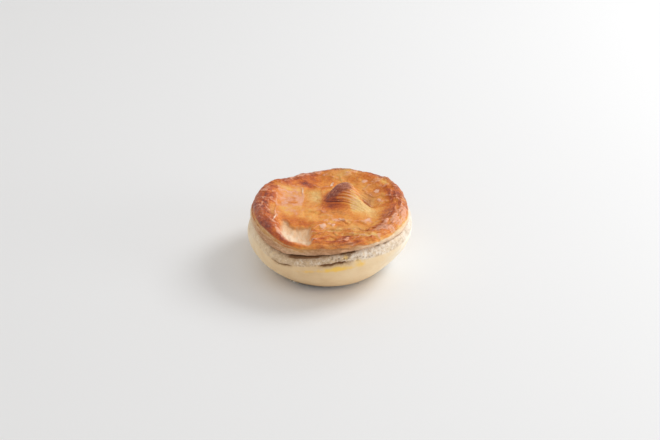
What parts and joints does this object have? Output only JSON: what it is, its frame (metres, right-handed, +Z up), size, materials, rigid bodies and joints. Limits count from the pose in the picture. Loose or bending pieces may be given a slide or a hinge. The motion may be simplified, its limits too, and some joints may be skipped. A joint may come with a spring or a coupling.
{
  "type": "mini beef pie",
  "caption": "Small free-standing savoury pie: a pale rounded pastry case under a browned, flaky puff-pastry lid pulled up into a nub in its middle.",
  "frame": {"origin": "middle of the pie's box in plan, on the surface that its foot stands on", "axes": "+Z up, -Y towards the front, where the seam between lid and case is open and cracked, +X to the right of someone facing that front"},
  "size_m": [0.0704, 0.0708, 0.032],
  "materials": {
    "pale_pastry": "dull, floury and slightly rough pale pastry",
    "browned_pastry": "egg-glazed golden to red-brown flaky crust with a soft sheen"
  },
  "bodies": {
    "root": {"pastry_base": "pale_pastry", "pastry_lid": "browned_pastry"}
  },
  "joints": []
}
